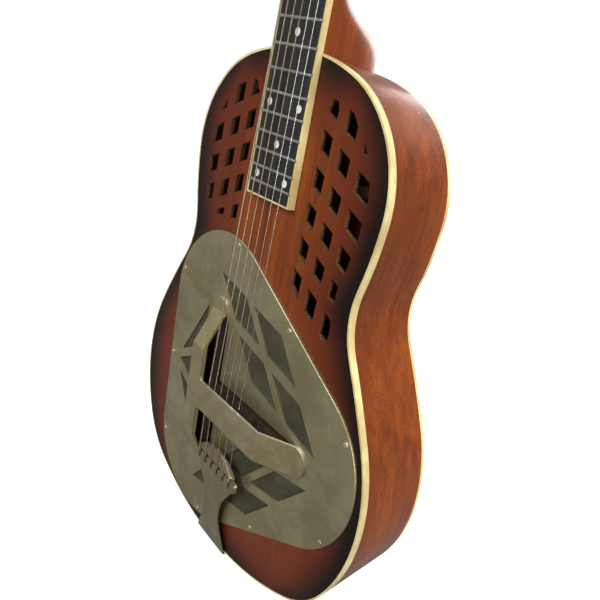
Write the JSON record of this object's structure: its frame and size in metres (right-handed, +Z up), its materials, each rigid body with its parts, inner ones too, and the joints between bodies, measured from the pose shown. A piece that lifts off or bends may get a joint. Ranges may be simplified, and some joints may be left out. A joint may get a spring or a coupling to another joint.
{
  "type": "resonator guitar",
  "caption": "Wooden-bodied resonator guitar with a metal cover plate, screened diamond windows, hand rest, bound fingerboard and slotted headstock with geared tuners.",
  "frame": {"origin": "under the middle of the body box, level with the end of the strap button at the tail", "axes": "+Z up from the tail to the headstock, -Y out of the soundboard to the player, +X to the treble side"},
  "size_m": [0.3602, 0.1066, 1.0153],
  "materials": {
    "top_wood": "satin lacquer, dark sunburst edge",
    "side_wood": "satin lacquer",
    "inner_wood": "bare",
    "binding": "aged cream",
    "board_wood": "oiled, near black",
    "bridge_wood": "dark",
    "nickel_plate": "aged satin nickel",
    "screen": "fine mesh",
    "spun_aluminium": "spun",
    "fret_wire": "polished nickel silver",
    "pearl": "pearl",
    "bone": "polished",
    "plain_string": "bright",
    "wound_string": "bronze wound",
    "steel": "plain",
    "tuner_metal": "nickel",
    "gear_brass": "plain",
    "button_plastic": "ivoroid",
    "veneer": "black gloss"
  },
  "bodies": {
    "guitar": {"soundboard": "top_wood", "back_plate": "side_wood", "body_sides": "side_wood", "front_binding": "binding", "back_binding": "binding", "front_lining": "inner_wood", "back_lining": "inner_wood", "neck_block": "inner_wood", "tail_block": "inner_wood", "neck_stick": "inner_wood", "braces": "inner_wood", "soundwell": "inner_wood", "cone_bass_upper": "spun_aluminium", "cone_bass_lower": "spun_aluminium", "cone_treble": "spun_aluminium", "t_bridge": "bridge_wood", "saddle": "bridge_wood", "coverplate": "nickel_plate", "coverplate_screws": "nickel_plate", "grille_screens": "screen", "handrest": "nickel_plate", "tailpiece": "nickel_plate", "tailpiece_screws": "nickel_plate", "strap_button": "nickel_plate", "neck": "side_wood", "heel_cap": "binding", "headstock_veneer": "veneer", "truss_rod": "steel", "fingerboard": "board_wood", "fingerboard_binding": "binding", "frets": "fret_wire", "position_dots": "pearl", "nut": "bone", "tuner_plate_bass": "tuner_metal", "tuner_plate_treble": "tuner_metal", "tuner_plate_screws": "tuner_metal", "string_1": "plain_string", "string_2": "plain_string", "string_3": "wound_string", "string_4": "wound_string", "string_5": "wound_string", "string_6": "wound_string"},
    "tuner_1": {"tuner_worm_1": "tuner_metal", "tuner_button_1": "button_plastic"},
    "roller_1": {"tuner_roller_1": "gear_brass"},
    "tuner_2": {"tuner_worm_2": "tuner_metal", "tuner_button_2": "button_plastic"},
    "roller_2": {"tuner_roller_2": "gear_brass"},
    "tuner_3": {"tuner_worm_3": "tuner_metal", "tuner_button_3": "button_plastic"},
    "roller_3": {"tuner_roller_3": "gear_brass"},
    "tuner_4": {"tuner_worm_4": "tuner_metal", "tuner_button_4": "button_plastic"},
    "roller_4": {"tuner_roller_4": "gear_brass"},
    "tuner_5": {"tuner_worm_5": "tuner_metal", "tuner_button_5": "button_plastic"},
    "roller_5": {"tuner_roller_5": "gear_brass"},
    "tuner_6": {"tuner_worm_6": "tuner_metal", "tuner_button_6": "button_plastic"},
    "roller_6": {"tuner_roller_6": "gear_brass"}
  },
  "joints": [
    {"name": "tuner_1_turn", "type": "hinge", "parent": "guitar", "child": "tuner_1", "pos_m": [0.0385, -0.00588, 0.88228], "axis": [0, -0.966, 0.2586], "continuous": true},
    {"name": "roller_1_turn", "type": "hinge", "parent": "guitar", "child": "roller_1", "pos_m": [0.02, -0.004, 0.88933], "axis": [1, 0, 0], "continuous": true},
    {"name": "tuner_2_turn", "type": "hinge", "parent": "guitar", "child": "tuner_2", "pos_m": [0.0385, 0.00317, 0.91609], "axis": [0, -0.966, 0.2586], "continuous": true},
    {"name": "roller_2_turn", "type": "hinge", "parent": "guitar", "child": "roller_2", "pos_m": [0.02, 0.00506, 0.92314], "axis": [1, 0, 0], "continuous": true},
    {"name": "tuner_3_turn", "type": "hinge", "parent": "guitar", "child": "tuner_3", "pos_m": [0.0385, 0.01222, 0.9499], "axis": [0, -0.966, 0.2586], "continuous": true},
    {"name": "roller_3_turn", "type": "hinge", "parent": "guitar", "child": "roller_3", "pos_m": [0.02, 0.01411, 0.95695], "axis": [1, 0, 0], "continuous": true},
    {"name": "tuner_4_turn", "type": "hinge", "parent": "guitar", "child": "tuner_4", "pos_m": [-0.0385, 0.01222, 0.9499], "axis": [0, -0.966, 0.2586], "continuous": true},
    {"name": "roller_4_turn", "type": "hinge", "parent": "guitar", "child": "roller_4", "pos_m": [-0.02, 0.01411, 0.95695], "axis": [1, 0, 0], "continuous": true},
    {"name": "tuner_5_turn", "type": "hinge", "parent": "guitar", "child": "tuner_5", "pos_m": [-0.0385, 0.00317, 0.91609], "axis": [0, -0.966, 0.2586], "continuous": true},
    {"name": "roller_5_turn", "type": "hinge", "parent": "guitar", "child": "roller_5", "pos_m": [-0.02, 0.00506, 0.92314], "axis": [1, 0, 0], "continuous": true},
    {"name": "tuner_6_turn", "type": "hinge", "parent": "guitar", "child": "tuner_6", "pos_m": [-0.0385, -0.00588, 0.88228], "axis": [0, -0.966, 0.2586], "continuous": true},
    {"name": "roller_6_turn", "type": "hinge", "parent": "guitar", "child": "roller_6", "pos_m": [-0.02, -0.004, 0.88933], "axis": [1, 0, 0], "continuous": true}
  ],
  "couplings": [
    {"joint": "roller_1_turn", "follows": "tuner_1_turn", "ratio": 0.071429},
    {"joint": "roller_2_turn", "follows": "tuner_2_turn", "ratio": 0.071429},
    {"joint": "roller_3_turn", "follows": "tuner_3_turn", "ratio": 0.071429},
    {"joint": "roller_4_turn", "follows": "tuner_4_turn", "ratio": 0.071429},
    {"joint": "roller_5_turn", "follows": "tuner_5_turn", "ratio": 0.071429},
    {"joint": "roller_6_turn", "follows": "tuner_6_turn", "ratio": 0.071429}
  ]
}
